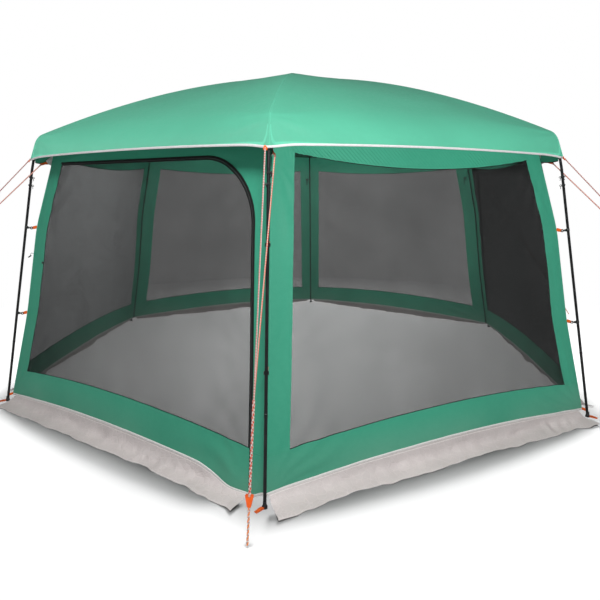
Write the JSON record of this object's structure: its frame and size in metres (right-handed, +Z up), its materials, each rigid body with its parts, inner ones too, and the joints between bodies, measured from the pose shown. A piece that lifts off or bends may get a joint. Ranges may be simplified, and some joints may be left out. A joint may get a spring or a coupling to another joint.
{
  "type": "screen house",
  "caption": "Hexagonal camping screen house with a domed canopy, mesh walls, a zipped mesh door, leaning tube legs, ground flaps and guy ropes.",
  "frame": {"origin": "on the ground, under the crown of the roof", "axes": "+Z up; corner a faces -Y; corners b to f follow clockwise seen from above; the door is in wall ab"},
  "size_m": [6.085, 5.0458, 2.3057],
  "materials": {
    "steel": "satin black powder coat",
    "rod": "dark fibreglass",
    "plastic": "moulded black",
    "canopy": "coated polyester, slight sheen",
    "wall": "coated polyester, slight sheen",
    "mesh": "fine dark netting",
    "flap": "crinkled light grey sheet",
    "rope": "braided cord, red and white",
    "tensioner": "moulded orange"
  },
  "bodies": {
    "root": {"leg_lower_a": "steel", "leg_upper_a": "steel", "wall_frame_ab": "wall", "ground_flap_ab": "flap", "pole_clip_lower_a": "plastic", "pole_clip_upper_a": "plastic", "guy_rope_a": "rope", "leg_lower_b": "steel", "leg_upper_b": "steel", "wall_frame_bc": "wall", "window_mesh_bc": "mesh", "ground_flap_bc": "flap", "pole_clip_lower_b": "plastic", "pole_clip_upper_b": "plastic", "guy_rope_b": "rope", "leg_lower_c": "steel", "leg_upper_c": "steel", "wall_frame_cd": "wall", "window_mesh_cd": "mesh", "ground_flap_cd": "flap", "pole_clip_lower_c": "plastic", "pole_clip_upper_c": "plastic", "guy_rope_c": "rope", "leg_lower_d": "steel", "leg_upper_d": "steel", "wall_frame_de": "wall", "window_mesh_de": "mesh", "ground_flap_de": "flap", "pole_clip_lower_d": "plastic", "pole_clip_upper_d": "plastic", "guy_rope_d": "rope", "leg_lower_e": "steel", "leg_upper_e": "steel", "wall_frame_ef": "wall", "window_mesh_ef": "mesh", "ground_flap_ef": "flap", "pole_clip_lower_e": "plastic", "pole_clip_upper_e": "plastic", "guy_rope_e": "rope", "leg_lower_f": "steel", "leg_upper_f": "steel", "wall_frame_fa": "wall", "window_mesh_fa": "mesh", "ground_flap_fa": "flap", "pole_clip_lower_f": "plastic", "pole_clip_upper_f": "plastic", "guy_rope_f": "rope", "roof_pole_ad": "rod", "roof_pole_be": "rod", "roof_pole_cf": "rod", "crown_hub": "plastic", "canopy": "canopy"},
    "door": {"door_mesh": "mesh"},
    "zip_slider": {"zip_slider": "plastic"},
    "tensioner_a": {"tensioner_a": "tensioner"},
    "tensioner_b": {"tensioner_b": "tensioner"},
    "tensioner_c": {"tensioner_c": "tensioner"},
    "tensioner_d": {"tensioner_d": "tensioner"},
    "tensioner_e": {"tensioner_e": "tensioner"},
    "tensioner_f": {"tensioner_f": "tensioner"}
  },
  "joints": [
    {"name": "door_swing", "type": "hinge", "parent": "root", "child": "door", "pos_m": [-1.77245, -1.14477, 0.228], "axis": [-0.1833, -0.1058, -0.9773], "range_deg": [0, 90]},
    {"name": "zip_run", "type": "slide", "parent": "root", "child": "zip_slider", "axis": [0, 0.2104, 0.9776], "range_m": [0, 0.9]},
    {"name": "tensioner_a_slide", "type": "slide", "parent": "root", "child": "tensioner_a", "axis": [-0.0129, -0.3264, -0.9452], "range_m": [0, 0.11]},
    {"name": "tensioner_b_slide", "type": "slide", "parent": "root", "child": "tensioner_b", "axis": [-0.5959, -0.3513, -0.7221], "range_m": [0, 0.22]},
    {"name": "tensioner_c_slide", "type": "slide", "parent": "root", "child": "tensioner_c", "axis": [-0.6022, 0.3405, -0.7221], "range_m": [0, 0.22]},
    {"name": "tensioner_d_slide", "type": "slide", "parent": "root", "child": "tensioner_d", "axis": [0.0129, 0.3264, -0.9452], "range_m": [0, 0.11]},
    {"name": "tensioner_e_slide", "type": "slide", "parent": "root", "child": "tensioner_e", "axis": [0.5959, 0.3513, -0.7221], "range_m": [0, 0.22]},
    {"name": "tensioner_f_slide", "type": "slide", "parent": "root", "child": "tensioner_f", "axis": [0.6022, -0.3405, -0.7221], "range_m": [0, 0.22]}
  ]
}
